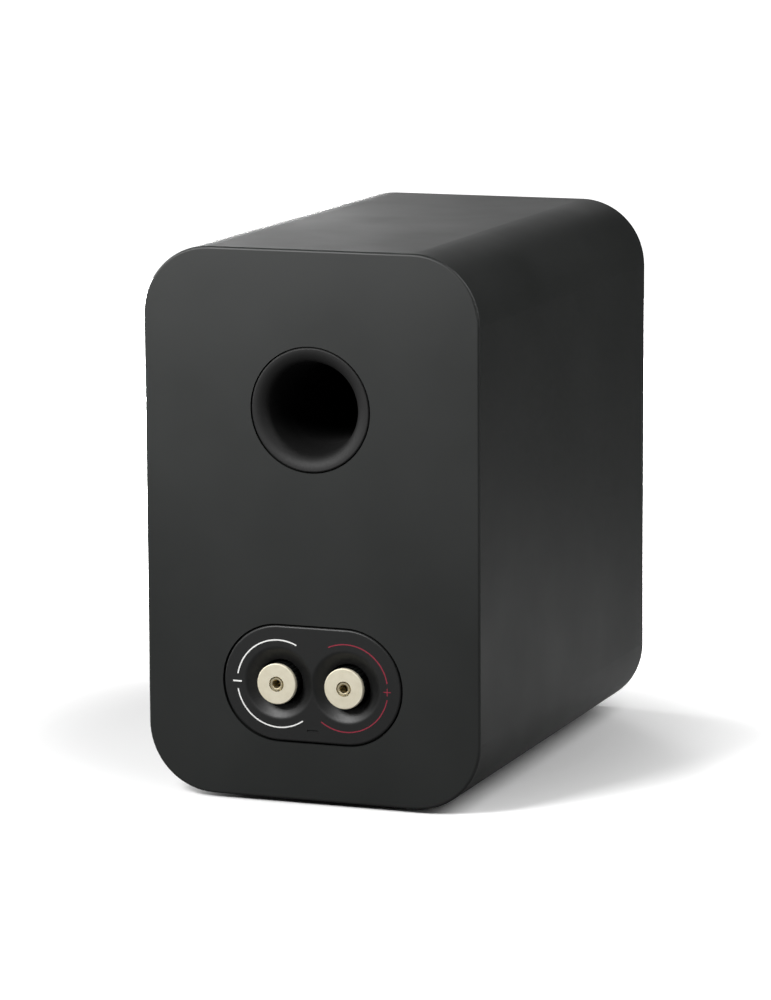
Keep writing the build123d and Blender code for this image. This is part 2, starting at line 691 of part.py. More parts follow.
PLATE_END = MOTOR_Y + TOP_PLATE_T
MAGNET_END = PLATE_END + MAGNET_T
save(ring(0, WOOFER_Z, 14.3, 36.0, MOTOR_Y, PLATE_END), "woofer_top_plate")
save(ring(0, WOOFER_Z, 19.0, 39.0, PLATE_END, MAGNET_END), "woofer_magnet")

with BuildPart() as woofer_yoke:
    with BuildSketch(across(MAGNET_END + YOKE_T, WOOFER_Z)):
        Circle(37.0)
    extrude(amount=YOKE_T)
    chamfer(woofer_yoke.faces().sort_by(Axis.Y)[-1].edges(), 1.5)
    with BuildSketch(across(MAGNET_END, WOOFER_Z)):
        Circle(12.0)
    extrude(amount=MAGNET_END - MOTOR_Y)
    with BuildSketch(across(MAGNET_END + YOKE_T, WOOFER_Z)):
        Circle(4.0)
    extrude(amount=MAGNET_END + YOKE_T - MOTOR_Y, mode=Mode.SUBTRACT)
save(woofer_yoke.part, "woofer_yoke")

# The strip under the basket's shelf takes the leads on two tabs.
with BuildPart() as woofer_tag_strip:
    strip_top = SHELF_TOP + 2.3
    with Locations((STRIP_X - 0.5, strip_top + 0.8, WOOFER_Z)):
        Box(9.0, 1.6, 12.0)
    with Locations((STRIP_X, strip_top + 1.6 + 1.2, WOOFER_Z)):
        with GridLocations(LEAD_GAP + 3.0, 0, 2, 1):
            Box(0.8, 2.4, 5.0)
save(woofer_tag_strip.part, "woofer_tag_strip")

# ---------------------------------------------------------------- tweeter
CHASSIS_TOP, CHASSIS_SEAT = FY + 2.6, FY + 5.0
DOME_Y, DOME_R, DOME_RISE = FY + 3.4, 12.6, 4.2
CUP_Y, CUP_R, CUP_L = FY + 4.0, 17.4, 20.0

with BuildPart() as tweeter_faceplate:
    with BuildSketch(turned(0, TWEETER_Z)):
        with BuildLine():
            horn = ThreePointArc((31.0, FY - 0.8), (22.5, FY + 0.35), (16.0, FY + 2.5))
            Polyline(
                horn @ 1,
                (16.0, CHASSIS_TOP),
                (34.0, CHASSIS_TOP),
                (34.0, FY - 0.1),
                (33.3, FY - 0.8),
                horn @ 0,
            )
        make_face()
    revolve(axis=spin(0, TWEETER_Z))
save(tweeter_faceplate.part, "tweeter_faceplate")

with BuildPart() as tweeter_chassis:
    with BuildSketch(turned(0, TWEETER_Z)):
        with BuildLine():
            Polyline(
                (CUP_R + SLIP, CHASSIS_TOP),
                (33.8, CHASSIS_TOP),
                (33.8, CHASSIS_SEAT),
                (20.5, CHASSIS_SEAT),
                (20.5, CHASSIS_SEAT + 4.0),
                (CUP_R + SLIP, CHASSIS_SEAT + 4.0),
                close=True,
            )
        make_face()
    revolve(axis=spin(0, TWEETER_Z))
    with Locations(across(CHASSIS_TOP, TWEETER_Z)):
        with PolarLocations(TWEETER_SCREW_R, TWEETER_SCREWS, start_angle=90):
            CounterSinkHole(1.6, 3.0, depth=5.0, counter_sink_angle=90)
save(tweeter_chassis.part, "tweeter_chassis")

with BuildPart() as tweeter_screws:
    for n in range(TWEETER_SCREWS):
        angle = math.radians(90 + 360 / TWEETER_SCREWS * n)
        x, z = TWEETER_SCREW_R * math.cos(angle), TWEETER_Z + TWEETER_SCREW_R * math.sin(angle)
        with BuildSketch(turned(x, z)):
            with BuildLine():
                Polyline(
                    (0, CHASSIS_TOP + 0.05),
                    (2.9, CHASSIS_TOP + 0.05),
                    (1.35, CHASSIS_TOP + 1.6),
                    (1.35, FY + 13.5),
                    (0, FY + 13.5),
                    close=True,
                )
            make_face()
        revolve(axis=spin(x, z))
save(tweeter_screws.part, "tweeter_screws")

tweeter_seat = FY + TWEETER_SEAT_D
with BuildPart() as tweeter_gasket:
    with BuildSketch(across(tweeter_seat, TWEETER_Z)):
        Circle(34.2)
        Circle(26.2, mode=Mode.SUBTRACT)
        with PolarLocations(TWEETER_SCREW_R, TWEETER_SCREWS, start_angle=90):
            Circle(1.8, mode=Mode.SUBTRACT)
    extrude(amount=tweeter_seat - CHASSIS_SEAT)
save(tweeter_gasket.part, "tweeter_gasket")

with BuildPart() as tweeter_surround:
    with BuildSketch(turned(0, TWEETER_Z)):
        with BuildLine():
            film, seat = 0.4, CUP_Y - 0.02
            over = CenterArc((14.5, CUP_Y - film), 1.5, 0, -180)
            under = CenterArc((14.5, CUP_Y - film), 1.1, 0, -180)
            Polyline(over @ 0, (17.3, CUP_Y - film), (17.3, CUP_Y), (15.6, CUP_Y), under @ 0)
            Polyline(over @ 1, (12.7, CUP_Y - film), (12.7, seat), (13.4, seat), under @ 1)
        make_face()
    revolve(axis=spin(0, TWEETER_Z))
save(tweeter_surround.part, "tweeter_surround")

with BuildPart() as tweeter_dome:
    with BuildSketch(turned(0, TWEETER_Z)):
        with BuildLine():
            radius = (DOME_R**2 + DOME_RISE**2) / (2 * DOME_RISE)
            reach = math.degrees(math.asin(DOME_R / radius))
            centre = (0, DOME_Y - DOME_RISE + radius)
            outer = CenterArc(centre, radius, 270, reach)
            inner = CenterArc(centre, radius - 0.4, 270, reach)
            Line(outer @ 0, inner @ 0)
            Line(outer @ 1, inner @ 1)
        make_face()
    revolve(axis=spin(0, TWEETER_Z))
save(tweeter_dome.part, "tweeter_dome")

save(ring(0, TWEETER_Z, 12.3, 12.5, DOME_Y + 0.5, FY + 9.0), "tweeter_coil_former")
save(ring(0, TWEETER_Z, 12.52, 13.3, FY + 4.4, FY + 7.4), "tweeter_coil_winding")

with BuildPart() as tweeter_cup:
    with BuildSketch(turned(0, TWEETER_Z)):
        with BuildLine():
            Polyline(
                (13.9, CUP_Y),
                (CUP_R, CUP_Y),
                (CUP_R, CUP_Y + CUP_L),
                (3.0, CUP_Y + CUP_L),
                (3.0, CUP_Y + CUP_L - 3.0),
                (14.9, CUP_Y + CUP_L - 3.0),
                (14.9, CUP_Y + 3.0),
                (13.9, CUP_Y + 3.0),
                close=True,
            )
        make_face()
    revolve(axis=spin(0, TWEETER_Z))
save(tweeter_cup.part, "tweeter_cup")

save(ring(0, TWEETER_Z, 3.0, 12.0, CUP_Y + 0.5, CUP_Y + 3.5), "tweeter_pole_plate")
save(ring(0, TWEETER_Z, 3.0, 11.4, CUP_Y + 3.5, CUP_Y + CUP_L - 3.0), "tweeter_magnet")

CHAMBER_R, CHAMBER_END = 24.0, FY + 42.0
with BuildPart() as tweeter_rear_chamber:
    with BuildSketch(across(CHAMBER_END, TWEETER_Z)):
        Circle(CHAMBER_R)
    extrude(amount=CHAMBER_END - CHASSIS_SEAT)
    fillet(tweeter_rear_chamber.faces().sort_by(Axis.Y)[-1].edges(), 3.0)
    with BuildSketch(across(CHAMBER_END - 2.0, TWEETER_Z)):
        Circle(CHAMBER_R - 2.0)
    extrude(amount=CHAMBER_END - 2.0 - CHASSIS_SEAT, mode=Mode.SUBTRACT)
save(tweeter_rear_chamber.part, "tweeter_rear_chamber")
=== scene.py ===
# %% [markdown]
# # A compact bookshelf loudspeaker, seen from behind
#
# The cabinet, drivers, port and terminals come from CAD as exact solids, one object for each
# real piece, all in metres and in one shared frame: Z is up, and +Y points out of the rear
# panel. This lesson dresses them. It sets up a camera and a studio, writes one material for
# each real finish, adds what CAD leaves out, which is the printing on the terminal plate and
# the soft parts that bend, and hangs the printing and the wadding on the cabinet's body.

# %% Load the imported speaker
import json
import math

import bmesh
import bpy
from mathutils import Matrix, Vector, noise


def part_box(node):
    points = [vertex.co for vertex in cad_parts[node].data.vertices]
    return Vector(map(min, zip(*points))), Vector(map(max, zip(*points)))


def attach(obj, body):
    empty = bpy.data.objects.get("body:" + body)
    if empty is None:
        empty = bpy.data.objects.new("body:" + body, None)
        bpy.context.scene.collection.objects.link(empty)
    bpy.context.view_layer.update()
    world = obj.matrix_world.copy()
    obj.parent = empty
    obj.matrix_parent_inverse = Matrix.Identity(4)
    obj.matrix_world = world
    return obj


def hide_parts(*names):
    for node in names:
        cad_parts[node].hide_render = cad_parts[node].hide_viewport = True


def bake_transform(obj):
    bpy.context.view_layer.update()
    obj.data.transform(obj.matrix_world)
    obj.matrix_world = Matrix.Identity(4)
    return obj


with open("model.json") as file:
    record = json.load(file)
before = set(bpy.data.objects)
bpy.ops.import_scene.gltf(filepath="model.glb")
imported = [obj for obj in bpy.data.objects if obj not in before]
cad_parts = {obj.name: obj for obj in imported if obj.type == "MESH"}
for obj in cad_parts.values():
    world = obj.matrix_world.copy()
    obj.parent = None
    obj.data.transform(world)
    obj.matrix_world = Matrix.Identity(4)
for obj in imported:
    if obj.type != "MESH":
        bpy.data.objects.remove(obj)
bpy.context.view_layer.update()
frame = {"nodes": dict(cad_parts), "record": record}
MM = 0.001


def middle(node):
    """The middle of a CAD piece's box."""
    low, high = (Vector(corner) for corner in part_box(node))
    return (low + high) / 2


# %% [markdown]
# ## Camera
#
# A product picture like this is taken from a few metres away with a long lens, so that the box
# keeps nearly parallel sides. The camera looks at the rear panel from above and from one side.
# Its place is worked out from the cabinet: start at the cabinet's middle, shift the aim a
# little, and step back along the line of sight. Only then is the lens chosen, to frame it.

# %% Place the camera
AZIMUTH, ELEVATION, ROLL = 200.577, 9.803, -0.307  # degrees; azimuth 0 would face the front
DISTANCE, LENS = 2.2255, 164.88  # metres, and millimetres on a 36 mm sensor
AIM_SHIFT = Vector((8.5, 4.4, -6.9)) * MM


def place_camera():
    """Stands the camera on its line of sight, level apart from a small roll."""
    turn, lift = math.radians(AZIMUTH), math.radians(ELEVATION)
    level = Vector((math.sin(turn), -math.cos(turn), 0.0))
    back = level * math.cos(lift) + Vector((0.0, 0.0, math.sin(lift)))
    place = middle("cabinet_sleeve") + AIM_SHIFT + back * DISTANCE
    facing = back.to_track_quat("Z", "Y").to_matrix().to_4x4()
    camera = bpy.data.objects.new("camera", bpy.data.cameras.new("camera"))
    camera.matrix_world = Matrix.Translation(place) @ facing @ Matrix.Rotation(math.radians(ROLL), 4, "Z")
    camera.data.lens = LENS
    bpy.context.collection.objects.link(camera)
    bpy.context.scene.camera = camera
    return place


print("camera at", [round(c, 3) for c in place_camera()])

# %% [markdown]
# ## Colours and nodes
#
# Colours are easiest to choose as the hex codes that a paint program shows, but a shader needs
# them linear, so one function turns them. Node trees are built by one other small function. It
# adds a node, sets what it is told, links what it is given, and passes its result on.


# %% Colour and node helpers
def linear(code):
    """An sRGB hex code such as "#8A8D8F" as the linear RGBA that a shader takes."""
    parts = [int(code[i : i + 2], 16) / 255 for i in (1, 3, 5)]
    return [c / 12.92 if c <= 0.04045 else ((c + 0.055) / 1.055) ** 2.4 for c in parts] + [1.0]


def in_use(sockets, name=None):
    """The first socket that is in use, of that name if one is given. Some nodes hide several."""
    return next((s for s in sockets if s.enabled and name in (None, s.name)), None)


def add(tree, kind, settings=(), links=(), feeds=None):
    """Adds a node. Settings go to its sockets or else its properties, links bring in other
    nodes' results, and feeds is the socket that its own result goes to."""
    node = tree.nodes.new(kind)
    for name, value in dict(settings).items():
        socket = in_use(node.inputs, name)
        if socket:
            socket.default_value = value
        else:
            setattr(node, name, value)
    for name, source in dict(links).items():
        result = source if isinstance(source, bpy.types.NodeSocket) else in_use(source.outputs)
        tree.links.new(result, in_use(node.inputs, name))
    if feeds:
        tree.links.new(in_use(node.outputs), feeds)
    return node


def start(name, colour, roughness, **numbers):
    """A new material: (itself, its tree, its shader's sockets, positions in metres)."""
    material = bpy.data.materials.new(name)
    material.use_nodes = True
    tree = material.node_tree
    tree.nodes.clear()
    numbers = {key.replace("_", " "): value for key, value in numbers.items()}
    settings = {"Base Color": linear(colour), "Roughness": roughness, **numbers}
    shader = add(tree, "ShaderNodeBsdfPrincipled", settings)
    add(tree, "ShaderNodeOutputMaterial", {}, {"Surface": shader})
    return material, tree, shader.inputs, add(tree, "ShaderNodeTexCoord").outputs["Object"]


def grains(size_mm):
    """The scale that gives a pattern grains of this size, where positions are in metres."""
    return 1.0 / (size_mm * MM)


# %% [markdown]
# ## Studio
#
# A black object on white is drawn by what it reflects. Bright paper all round would flood it
# with light and hide its shape, so a studio keeps the paper near the object small, leaves the
# rest of the room dim, and lights the far background by itself until it is pure white.
#
# One sheet of paper does the same here. What the camera sees of it grows brighter with distance
# from the speaker, so that only the soft shadows round the feet show, and round the feet it is
# held a little below white, which is painted shade. What the speaker sees of it is dim, apart
# from a patch beside the cabinet that lights the foot of its side.

# %% Floor and room
PAPER_REACH = 1.7  # metres from the speaker to each edge of the sheet
# painted shade: beside the speaker the paper's colour is a little below white
PAPER_SEEN = (0.88, 9.0)  # how bright the paper looks beside the speaker, and far away
SEEN_FADE = (0.1, 0.7)  # the distances in metres between which it moves from one to the other
PAPER_GIVES = (0.75, 0.14)  # how much light it returns inside the bright patch, and outside it
GIVES_FADE = (0.12, 0.45)
PATCH_STEP = Vector((-0.30, -0.20, 0.0))  # from under the cabinet to the patch's middle, in metres
SHADE_RAMP_STEP = Vector((0.05, -0.015, 0.0))  # and to the middle of the painted shade on the paper that the camera sees
ROOM_SEEN, ROOM_GIVES = 1.2, 0.03  # seen a little past white, so that the paper's edge can't show


def distance_share(tree, where, centre, fade, values):
    """A number that moves between two values as the distance from a point grows."""
    gap = add(tree, "ShaderNodeVectorMath", {"operation": "DISTANCE"}, {"Vector": where})
    gap.inputs[1].default_value = centre
    ends = {"From Min": fade[0], "From Max": fade[1], "To Min": values[0], "To Max": values[1]}
    ends["interpolation_type"] = "SMOOTHSTEP"
    return add(tree, "ShaderNodeMapRange", ends, {"Value": gap.outputs["Value"]})


def lay_floor():
    """A sheet of white paper under the speaker's feet. What the camera sees of it is painted a little darker
    round the feet, as painted shade.
    """
    mesh = bpy.data.meshes.new("paper_floor")
    signs = ((-1, -1), (1, -1), (1, 1), (-1, 1))
    corners = [(x * PAPER_REACH, y * PAPER_REACH, 0) for x, y in signs]
    mesh.from_pydata(corners, [], [(0, 1, 2, 3)])
    floor = bpy.data.objects.new("paper_floor", mesh)
    bpy.context.collection.objects.link(floor)
    paper = bpy.data.materials.new("matt_white_paper")
    paper.use_nodes = True
    tree = paper.node_tree
    tree.nodes.clear()
    where = add(tree, "ShaderNodeTexCoord").outputs["Object"]
    foot = middle("cabinet_sleeve") * Vector((1, 1, 0))
    gives = distance_share(tree, where, foot + PATCH_STEP, GIVES_FADE, PAPER_GIVES)
    # painted shade: the camera sees the paper a little below white round the feet, rising far past white
    # away from them
    seen = distance_share(tree, where, foot + SHADE_RAMP_STEP, SEEN_FADE, PAPER_SEEN)
    eye = add(tree, "ShaderNodeLightPath").outputs["Is Camera Ray"]
    share = add(tree, "ShaderNodeMix", {"data_type": "FLOAT"}, {"Factor": eye, "A": gives, "B": seen})
    matt = add(tree, "ShaderNodeBsdfDiffuse", {}, {"Color": share})
    add(tree, "ShaderNodeOutputMaterial", {}, {"Surface": matt})
    mesh.materials.append(paper)


def fill_room():
    """An even white room, dimmer as a light than it looks."""
    world = bpy.data.worlds.new("white_room")
    bpy.context.scene.world = world
    world.use_nodes = True
    tree = world.node_tree
    tree.nodes.clear()
    eye = add(tree, "ShaderNodeLightPath").outputs["Is Camera Ray"]
    ends = {"To Min": ROOM_GIVES, "To Max": ROOM_SEEN}
    share = add(tree, "ShaderNodeMapRange", ends, {"Value": eye})
    glow = add(tree, "ShaderNodeBackground", {"Color": linear("#FFFFFF")}, {"Strength": share})
    add(tree, "ShaderNodeOutputWorld", {}, {"Surface": glow})


lay_floor()
fill_room()
bpy.context.scene.view_settings.view_transform = "Standard"

# %% Soft boxes
SOFT_BOXES = {  # where each stands, as steps from the cabinet's middle in metres, its size and watts
    "near_rear_box": ((0.24, 0.62, 0.37), 0.26, 5.2),
    "left_box": ((1.80, 0.00, 0.60), 1.6, 34.0),
    "right_box": ((-1.80, -0.20, 0.60), 1.2, 5.7),
    "upper_right_box": ((-0.70, 0.10, 0.80), 0.8, 6.6),
    "far_box": ((0.80, -2.20, 0.50), 1.4, 3.5),
    "far_left_box": ((1.20, -2.00, 0.45), 0.8, 5.0),
    "front_box": ((0.60, -1.20, 0.00), 0.24, 12.0),
}


def hang_soft_box(name, step, size, watts):
    """One square area light that points at the cabinet's middle and is never itself in view."""
    light = bpy.data.objects.new(name, bpy.data.lights.new(name, "AREA"))
    light.data.size = size
    light.data.energy = watts
    light.visible_camera = False
    step = Vector(step)
    facing = step.to_track_quat("Z", "Y").to_matrix().to_4x4()
    light.matrix_world = Matrix.Translation(middle("cabinet_sleeve") + step) @ facing
    bpy.context.collection.objects.link(light)


for name, (step, size, watts) in SOFT_BOXES.items():
    hang_soft_box(name, step, size, watts)
print(len(SOFT_BOXES), "soft boxes")

# %% [markdown]
# ## Cabinet: satin lacquer
#
# The cabinet is fibreboard sprayed with a satin two-pack polyurethane lacquer, nearly black
# with a little green. Spraying leaves a faint orange peel, about two millimetres across and a
# few micrometres deep, and polishing leaves it slightly glossier here than there. From a
# metre away that is seen only as a soft, slightly cloudy sheen.


# %% Satin lacquer
def satin_lacquer():
    """Two-pack polyurethane, sprayed: a soft even sheen with a trace of orange peel."""
    material, tree, shader, where = start("satin_polyurethane_lacquer", "#1E201F", 0.5, IOR=1.5)
    cloud = add(tree, "ShaderNodeTexNoise", {"Scale": grains(60.0), "Detail": 3.0}, {"Vector": where})
    shades = {"data_type": "RGBA", "A": linear("#1B1D1C"), "B": linear("#212322")}
    add(tree, "ShaderNodeMix", shades, {"Factor": cloud}, feeds=shader["Base Color"])
    sheen = {"From Min": 0.3, "From Max": 0.7, "To Min": 0.46, "To Max": 0.54}
    add(tree, "ShaderNodeMapRange", sheen, {"Value": cloud}, feeds=shader["Roughness"])
    peel = add(tree, "ShaderNodeTexNoise", {"Scale": grains(2.0), "Detail": 1.0}, {"Vector": where})
    dust = add(tree, "ShaderNodeTexNoise", {"Scale": grains(0.35), "Detail": 2.0}, {"Vector": where})
    wavy = add(tree, "ShaderNodeBump", {"Distance": 0.012 * MM}, {"Height": peel})
    fine = {"Distance": 0.004 * MM}
    add(tree, "ShaderNodeBump", fine, {"Height": dust, "Normal": wavy}, feeds=shader["Normal"])
    return material


# %% [markdown]
# ## Port and terminal plate: grained ABS
#
# The port, its inner bell and the terminal plate are injection moulded ABS. The mould is spark
# eroded, which gives the plastic a fine even grain of about 0.3 mm. It scatters the light, so
# the plate looks darker and flatter than the lacquer, except where a rounded lip faces up. The
# port and its bell get a darker copy of the same finish, with less gloss and more roughness. Its
# darker colour is painted shade, so that light dies away inside them.


# %% Grained ABS
def grained_abs(name="spark_grained_abs", colour="#101111", roughness=0.49, gloss=0.5):
    """ABS from a spark-eroded mould: dark and dry, with a fine pebbled grain. Less gloss, more
    roughness and a darker colour make the port's shaded copy, whose darker colour is painted shade."""
    material, tree, shader, where = start(name, colour, roughness, IOR=1.56, Specular_IOR_Level=gloss)
    pits = add(tree, "ShaderNodeTexVoronoi", {"Scale": grains(0.28)}, {"Vector": where})
    soft = add(tree, "ShaderNodeTexNoise", {"Scale": grains(0.5), "Detail": 3.0}, {"Vector": where})
    deep = add(tree, "ShaderNodeBump", {"Distance": 0.02 * MM}, {"Height": soft})
    fine = {"Distance": 0.01 * MM}
    add(tree, "ShaderNodeBump", fine, {"Height": pits, "Normal": deep}, feeds=shader["Normal"])
    dry = {"From Min": 0.3, "From Max": 0.7, "To Min": roughness - 0.05, "To Max": roughness + 0.05}
    add(tree, "ShaderNodeMapRange", dry, {"Value": soft}, feeds=shader["Roughness"])
    return material


# %% [markdown]
# ## Turned patterns
#
# Lathe work leaves rings about the axis it was turned on. A pattern that follows them needs
# each point's distance from that axis. The two posts share one finish, so their pattern folds
# the speaker in half first: the distance to the middle plane puts both posts in one place.


# %% Distance from a turning axis
def ring_distance(tree, where, node, folded=False):
    """Each point's distance in metres from the axis along Y through a CAD piece's middle."""
    axis = middle(node)
    parts = add(tree, "ShaderNodeSeparateXYZ", {}, {"Vector": where})
    across = parts.outputs["X"]
    if folded:
        across = in_use(add(tree, "ShaderNodeMath", {"operation": "ABSOLUTE"}, {"Value": across}).outputs)
    place = add(tree, "ShaderNodeCombineXYZ", {}, {"X": across, "Z": parts.outputs["Z"]})
    centre = {"operation": "DISTANCE", "Vector": (0.0, 0.0, 0.0)}
    gap = add(tree, "ShaderNodeVectorMath", centre, {"Vector": place})
    gap.inputs[1].default_value = (abs(axis.x) if folded else axis.x, 0.0, axis.z)
    return gap.outputs["Value"]


# %% [markdown]
# ## Terminal metal: satin nickel
#
# The knobs' caps are brass, faced on a lathe, blasted with fine glass beads and plated with
# nickel. Nickel is warmer than steel, a pale champagne. Blasting turns a mirror into a soft
# even glow that is nearly as bright from every side, so the metal is rough here. The facing
# cut leaves rings about 0.3 mm apart, which blasting and plating soften but don't fill.


# %% Satin nickel
def satin_nickel(name="satin_nickel_plate", dark="#EFE8D2", light="#FFFAE8", roughness=0.66):
    """Nickel plate over turned and blasted brass: pale champagne metal with soft rings."""
    material, tree, shader, where = start(name, light, roughness, Metallic=1.0)
    rings = ring_distance(tree, where, "negative_knob_core", folded=True)
    cut = {"noise_dimensions": "1D", "Scale": grains(0.3), "Detail": 2.0}
    marks = add(tree, "ShaderNodeTexNoise", cut, {"W": rings})
    blast = add(tree, "ShaderNodeTexNoise", {"Scale": grains(0.12)}, {"Vector": where})
    facing = add(tree, "ShaderNodeBump", {"Distance": 0.008 * MM}, {"Height": marks})
    beads = {"Distance": 0.004 * MM}
    add(tree, "ShaderNodeBump", beads, {"Height": blast, "Normal": facing}, feeds=shader["Normal"])
    silk = {"From Min": 0.3, "From Max": 0.7, "To Min": roughness - 0.05, "To Max": roughness + 0.05}
    add(tree, "ShaderNodeMapRange", silk, {"Value": marks}, feeds=shader["Roughness"])
    handled = {"Scale": grains(3.5), "Detail": 4.0}
    tone = add(tree, "ShaderNodeTexNoise", handled, {"Vector": where})
    shades = {"data_type": "RGBA", "A": linear(dark), "B": linear(light)}
    add(tree, "ShaderNodeMix", shades, {"Factor": tone}, feeds=shader["Base Color"])
    return material


# %% [markdown]
# The sleeve of each knob is glass-filled nylon, so that a bare finger never touches the metal.
# The glass makes it hard and slightly speckled. Fluting comes from CAD as real grooves.


# %% Glass-filled nylon
def glass_filled_nylon():
    """Nylon with short glass fibres: hard, satin, with a faint speckle."""
    material, tree, shader, where = start("glass_filled_nylon", "#101111", 0.4, IOR=1.53)
    fibre = add(tree, "ShaderNodeTexNoise", {"Scale": grains(0.15), "Detail": 4.0}, {"Vector": where})
    shades = {"data_type": "RGBA", "A": linear("#0C0D0D"), "B": linear("#171818")}
    add(tree, "ShaderNodeMix", shades, {"Factor": fibre}, feeds=shader["Base Color"])
    add(tree, "ShaderNodeBump", {"Distance": 0.01 * MM}, {"Height": fibre}, feeds=shader["Normal"])
    return material


# %% [markdown]
# ## Hardware
#
# Washers, nuts, tags and the motors' plates are mild steel with a bright zinc plate. Zinc dulls
# unevenly, so its gloss is patchy. The drivers' screws are blackened steel instead, because
# they sit in black frames.


# %% Zinc-plated and blackened steel
def zinc_plated_steel():
    """Zinc plate: bluish silver, with patches where it has dulled."""
    material, tree, shader, where = start("zinc_plated_steel", "#B9BDC0", 0.34, Metallic=1.0)
    patch = add(tree, "ShaderNodeTexNoise", {"Scale": grains(4.0), "Detail": 5.0}, {"Vector": where})
    dull = {"From Min": 0.35, "From Max": 0.65, "To Min": 0.26, "To Max": 0.46}
    add(tree, "ShaderNodeMapRange", dull, {"Value": patch}, feeds=shader["Roughness"])
    shades = {"data_type": "RGBA", "A": linear("#A9ADB2"), "B": linear("#C8CBCC")}
    add(tree, "ShaderNodeMix", shades, {"Factor": patch}, feeds=shader["Base Color"])
    return material


def blackened_steel():
    """Steel with a black oxide skin: near black, oily and still metallic."""
    material, tree, shader, where = start("blackened_steel", "#1C1C1E", 0.38, Metallic=0.9)
    oil = add(tree, "ShaderNodeTexNoise", {"Scale": grains(1.5), "Detail": 3.0}, {"Vector": where})
    wet = {"From Min": 0.3, "From Max": 0.7, "To Min": 0.3, "To Max": 0.5}
    add(tree, "ShaderNodeMapRange", wet, {"Value": oil}, feeds=shader["Roughness"])
    return material


# %% [markdown]
# ## Rubber and foam
#
# The woofer's surround, the feet and the tweeter's damping ring are rubber, and the other seals
# are closed-cell foam. Rubber has almost no gloss but a slight bloom, a greyish film that
# shows at grazing angles. Foam shows its cut cells, here about 0.4 mm across.


# %% Rubber and foam
def moulded_rubber():
    """Moulded butyl rubber: matt black with a slight grey bloom."""
    material, tree, shader, where = start("moulded_butyl_rubber", "#0F0F10", 0.62, IOR=1.52)
    shader["Sheen Weight"].default_value = 0.08
    bloom = add(tree, "ShaderNodeTexNoise", {"Scale": grains(9.0), "Detail": 4.0}, {"Vector": where})
    shades = {"data_type": "RGBA", "A": linear("#0C0C0D"), "B": linear("#161617")}
    add(tree, "ShaderNodeMix", shades, {"Factor": bloom}, feeds=shader["Base Color"])
    skin = add(tree, "ShaderNodeTexNoise", {"Scale": grains(0.5), "Detail": 2.0}, {"Vector": where})
    add(tree, "ShaderNodeBump", {"Distance": 0.015 * MM}, {"Height": skin}, feeds=shader["Normal"])
    return material


def closed_cell_foam():
    """Cut closed-cell foam: small round cells and no gloss."""
    material, tree, shader, where = start("closed_cell_foam", "#1B1B1C", 0.9)
    cells = add(tree, "ShaderNodeTexVoronoi", {"Scale": grains(0.4)}, {"Vector": where})
    add(tree, "ShaderNodeBump", {"Distance": 0.12 * MM}, {"Height": cells}, feeds=shader["Normal"])
    shades = {"data_type": "RGBA", "A": linear("#101011"), "B": linear("#262627")}
    add(tree, "ShaderNodeMix", shades, {"Factor": cells}, feeds=shader["Base Color"])
    return material


# %% [markdown]
# ## Driver finishes
#
# The woofer's cone is paper pulp, pressed and then coated, so it keeps a fibrous surface. Its
# rings come from the felting screen. The tweeter's dome is a woven fabric, soaked in a soft
# dark lacquer, with threads about 0.15 mm apart, drawn a little coarser here so that they show.


# %% Coated pulp and coated weave
def coated_pulp():
    """Pressed paper fibre with a thin matt coat: dark, dry and faintly felted."""
    material, tree, shader, where = start("coated_paper_pulp", "#1D1D1F", 0.58, IOR=1.47)
    felt = {"Scale": grains(1.1), "Detail": 6.0, "Distortion": 1.6}
    fibre = add(tree, "ShaderNodeTexNoise", felt, {"Vector": where})
    shades = {"data_type": "RGBA", "A": linear("#171719"), "B": linear("#29292B")}
    add(tree, "ShaderNodeMix", shades, {"Factor": fibre}, feeds=shader["Base Color"])
    rings = ring_distance(tree, where, "woofer_cone")
    screen = {"noise_dimensions": "1D", "Scale": grains(1.4), "Detail": 1.0}
    pressed = add(tree, "ShaderNodeTexNoise", screen, {"W": rings})
    ridges = add(tree, "ShaderNodeBump", {"Distance": 0.05 * MM}, {"Height": pressed})
    fuzz = {"Distance": 0.06 * MM}
    add(tree, "ShaderNodeBump", fuzz, {"Height": fibre, "Normal": ridges}, feeds=shader["Normal"])
    return material


def coated_weave(name="coated_silk_weave", colour="#121214", thread_mm=0.22, roughness=0.5):
    """Woven cloth stiffened with lacquer or resin: two sets of threads, one each way."""
    material, tree, shader, where = start(name, colour, roughness)
    weft = {"bands_direction": "X", "Scale": grains(thread_mm) / 3.2, "Distortion": 0.3}
    warp = {"bands_direction": "Z", "Scale": grains(thread_mm) / 3.2, "Distortion": 0.3}
    one = add(tree, "ShaderNodeTexWave", weft, {"Vector": where})
    two = add(tree, "ShaderNodeTexWave", warp, {"Vector": where})
    under = add(tree, "ShaderNodeBump", {"Distance": 0.05 * MM}, {"Height": one})
    over = {"Distance": 0.05 * MM}
    add(tree, "ShaderNodeBump", over, {"Height": two, "Normal": under}, feeds=shader["Normal"])
    stain = add(tree, "ShaderNodeTexNoise", {"Scale": grains(5.0), "Detail": 3.0}, {"Vector": where})
    soak = {"From Min": 0.3, "From Max": 0.7, "To Min": roughness - 0.08, "To Max": roughness + 0.08}
    add(tree, "ShaderNodeMapRange", soak, {"Value": stain}, feeds=shader["Roughness"])
    return material


# %% [markdown]
# The trim ring, the tweeter's faceplate and its rear chamber are smoother mouldings than the
# port. The frames are die-cast aluminium under a black powder coat, whose melted grains leave a
# bumpy skin. The magnets are ground ferrite, a grey-black ceramic with small chips.


